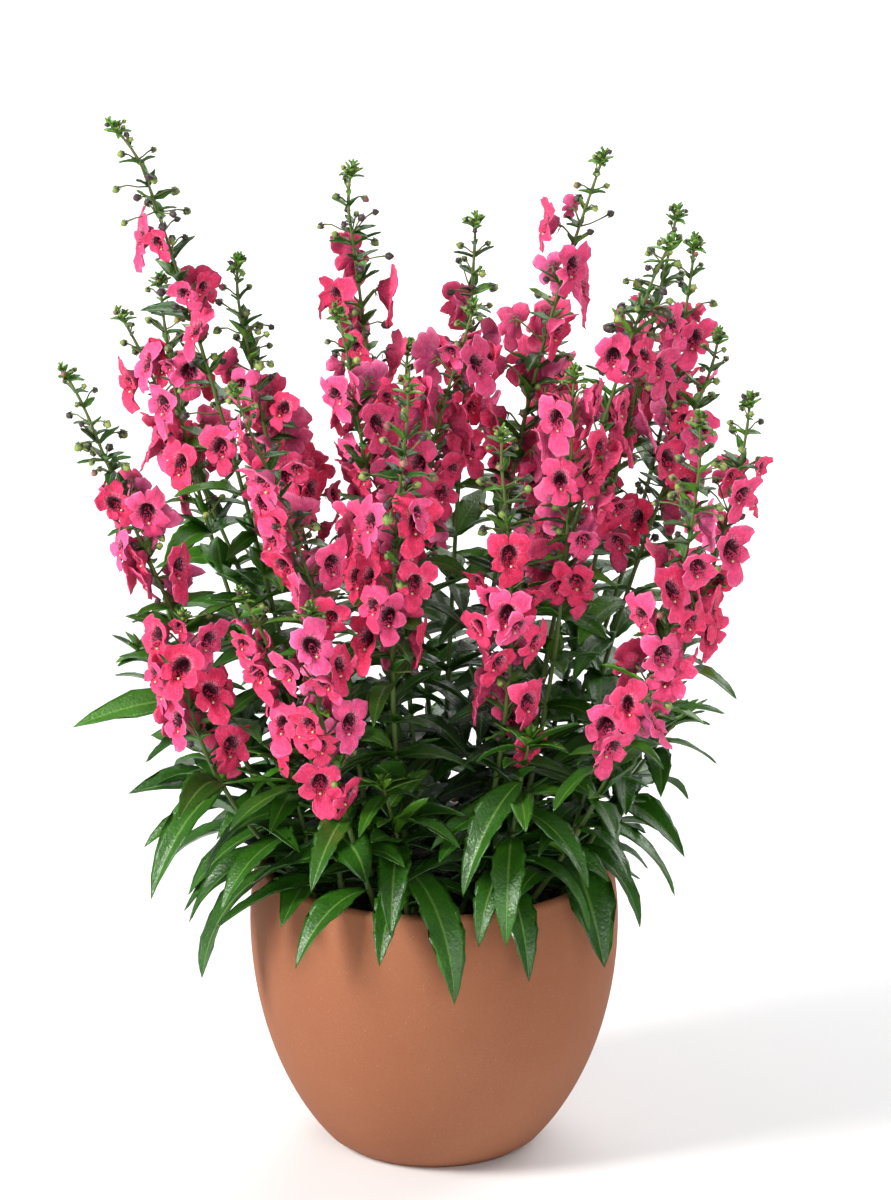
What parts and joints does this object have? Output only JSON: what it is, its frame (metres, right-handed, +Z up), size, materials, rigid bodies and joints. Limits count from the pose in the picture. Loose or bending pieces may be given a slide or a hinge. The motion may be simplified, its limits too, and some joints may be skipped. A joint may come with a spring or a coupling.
{
  "type": "potted angelonia",
  "caption": "Bushy flowering plant with upright pink spikes and narrow opposite leaves, in a plain rounded terracotta pot.",
  "frame": {"origin": "centre of the underside of the pot, on the surface it stands on", "axes": "+Z up the pot's axis, -Y towards the front of the plant, +X to its right"},
  "size_m": [0.3451, 0.2837, 0.531],
  "materials": {
    "pot": "matte unglazed terracotta",
    "soil": "loose dark potting mix",
    "foliage": "soft satin leaf",
    "flowers": "matte petal"
  },
  "bodies": {
    "root": {"pot": "pot", "soil": "soil", "stem-01": "foliage", "stem-02": "foliage", "stem-03": "foliage", "stem-04": "foliage", "stem-05": "foliage", "stem-06": "foliage", "stem-07": "foliage", "stem-08": "foliage", "stem-09": "foliage", "stem-10": "foliage", "stem-11": "foliage", "stem-12": "foliage", "stem-13": "foliage", "stem-14": "foliage", "stem-15": "foliage", "stem-16": "foliage", "stem-17": "foliage", "stem-18": "foliage", "stem-19": "foliage", "stem-20": "foliage", "stem-21": "foliage", "stem-22": "foliage", "stem-23": "foliage", "stem-24": "foliage", "stem-25": "foliage", "stem-26": "foliage", "stem-27": "foliage", "stem-28": "foliage", "stem-29": "foliage", "stem-30": "foliage", "stem-31": "foliage", "stem-32": "foliage", "spike-01": "flowers", "spike-02": "flowers", "spike-03": "flowers", "spike-04": "flowers", "spike-05": "flowers", "spike-06": "flowers", "spike-07": "flowers", "spike-08": "flowers", "spike-09": "flowers", "spike-10": "flowers", "spike-11": "flowers", "spike-12": "flowers", "spike-13": "flowers", "spike-14": "flowers", "spike-15": "flowers", "spike-16": "flowers", "spike-17": "flowers", "spike-18": "flowers", "spike-19": "flowers", "spike-20": "flowers", "spike-21": "flowers", "spike-22": "flowers", "spike-23": "flowers", "spike-24": "flowers", "spike-25": "flowers", "spike-26": "flowers"}
  },
  "joints": []
}
